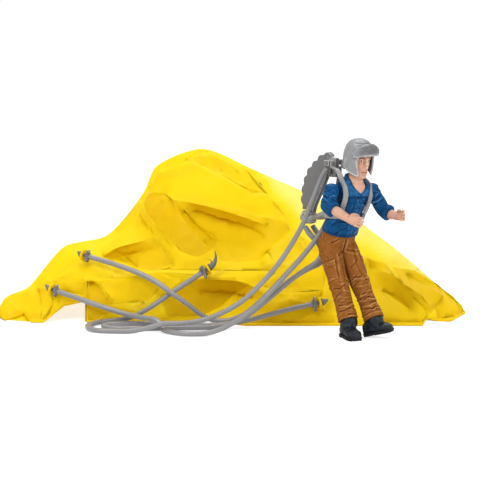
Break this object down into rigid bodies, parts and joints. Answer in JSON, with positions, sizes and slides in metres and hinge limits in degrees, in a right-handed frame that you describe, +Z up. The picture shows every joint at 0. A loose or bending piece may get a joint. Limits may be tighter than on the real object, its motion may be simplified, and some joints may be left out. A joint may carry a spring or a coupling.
{
  "type": "toy parachute",
  "caption": "Crumpled nylon play parachute with flat moulded cords and star clips, a harness pack, and a small jointed parachutist.",
  "frame": {"origin": "bottom centre of the canopy and figure together, on the surface they stand on", "axes": "+X along the longer side of the canopy heap towards the figure, +Y from the figure back to the canopy, +Z up"},
  "size_m": [0.2367, 0.1566, 0.0945],
  "materials": {
    "sheet_yellow": "thin plain-woven nylon, slightly translucent",
    "line_a": "soft moulded vinyl, satin",
    "clip_a": "soft moulded vinyl, satin",
    "line_b": "soft moulded vinyl, satin",
    "clip_b": "soft moulded vinyl, satin",
    "line_c": "soft moulded vinyl, satin",
    "clip_c": "soft moulded vinyl, satin",
    "line_d": "soft moulded vinyl, satin",
    "clip_d": "soft moulded vinyl, satin",
    "moulded_grey": "soft moulded vinyl, satin",
    "shirt_blue": "hand-painted vinyl, dark wash and dry-brushed highlights",
    "left_sleeve_blue": "hand-painted vinyl, dark wash and dry-brushed highlights",
    "right_sleeve_blue": "hand-painted vinyl, dark wash and dry-brushed highlights",
    "left_hand_skin": "hand-painted vinyl, matt",
    "right_hand_skin": "hand-painted vinyl, matt",
    "head_skin": "hand-painted vinyl, matt",
    "left_boot_leather": "hand-painted vinyl, dark",
    "right_boot_leather": "hand-painted vinyl, dark",
    "trouser_brown": "hand-painted vinyl, dark wash and dry-brushed highlights",
    "helmet_silver": "silver-grey paint on vinyl, satin",
    "visor_silver": "silver-grey paint on vinyl, satin"
  },
  "bodies": {
    "body": {"canopy": "sheet_yellow", "corner_tab_a": "sheet_yellow", "corner_tab_b": "sheet_yellow", "corner_tab_c": "sheet_yellow", "corner_tab_d": "sheet_yellow", "line_a": "line_a", "line_b": "line_b", "line_c": "line_c", "line_d": "line_d", "clip_a": "clip_a", "clip_b": "clip_b", "clip_c": "clip_c", "clip_d": "clip_d", "torso": "shirt_blue", "left_boot": "left_boot_leather", "right_boot": "right_boot_leather", "trousers": "trouser_brown", "head": "head_skin", "helmet": "helmet_silver", "visor": "visor_silver", "upper_bracket": "moulded_grey", "lower_bracket": "moulded_grey", "pack_fin": "moulded_grey", "left_shoulder_strap": "moulded_grey", "right_shoulder_strap": "moulded_grey", "left_waist_strap": "moulded_grey", "right_waist_strap": "moulded_grey"},
    "right_arm": {"right_sleeve": "right_sleeve_blue", "right_hand": "right_hand_skin"},
    "left_arm": {"left_sleeve": "left_sleeve_blue", "left_hand": "left_hand_skin"}
  },
  "joints": [
    {"name": "right_shoulder", "type": "hinge", "parent": "body", "child": "right_arm", "pos_m": [0.05081, -0.06302, 0.06979], "axis": [0.8266, 0.5604, -0.0519], "range_deg": [-80, 6]},
    {"name": "left_shoulder", "type": "hinge", "parent": "body", "child": "left_arm", "pos_m": [0.0647, -0.05361, 0.06892], "axis": [0.8266, 0.5604, -0.0519], "range_deg": [-85, 50]}
  ]
}
